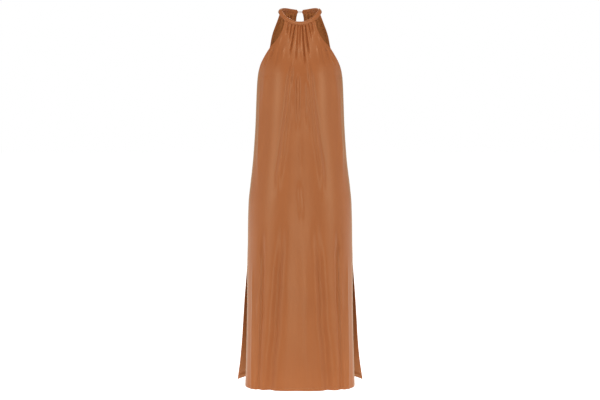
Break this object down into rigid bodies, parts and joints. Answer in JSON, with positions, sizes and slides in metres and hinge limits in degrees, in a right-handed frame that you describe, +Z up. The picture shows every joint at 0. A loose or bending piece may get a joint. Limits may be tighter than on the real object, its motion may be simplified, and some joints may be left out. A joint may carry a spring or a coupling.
{
  "type": "midi dress",
  "caption": "Sleeveless halter midi dress, gathered under a narrow neckband, with a back keyhole, loop and button, and side slits.",
  "frame": {"origin": "centre of the neckband's ring, level with the middle of the band at its sides, where the neck holds the dress", "axes": "+Z up, +X towards the right in a view of the front, +Y towards the back, so the front faces -Y"},
  "size_m": [0.4392, 0.2726, 1.2851],
  "materials": {
    "front_panel": "smooth matt jersey",
    "back_panel": "smooth matt jersey",
    "neckband": "smooth matt jersey",
    "neck_button": "satin",
    "button_loop": "cord"
  },
  "bodies": {
    "root": {"front_panel": "front_panel", "back_panel": "back_panel", "neckband": "neckband", "neck_button": "neck_button", "button_loop": "button_loop"}
  },
  "joints": []
}
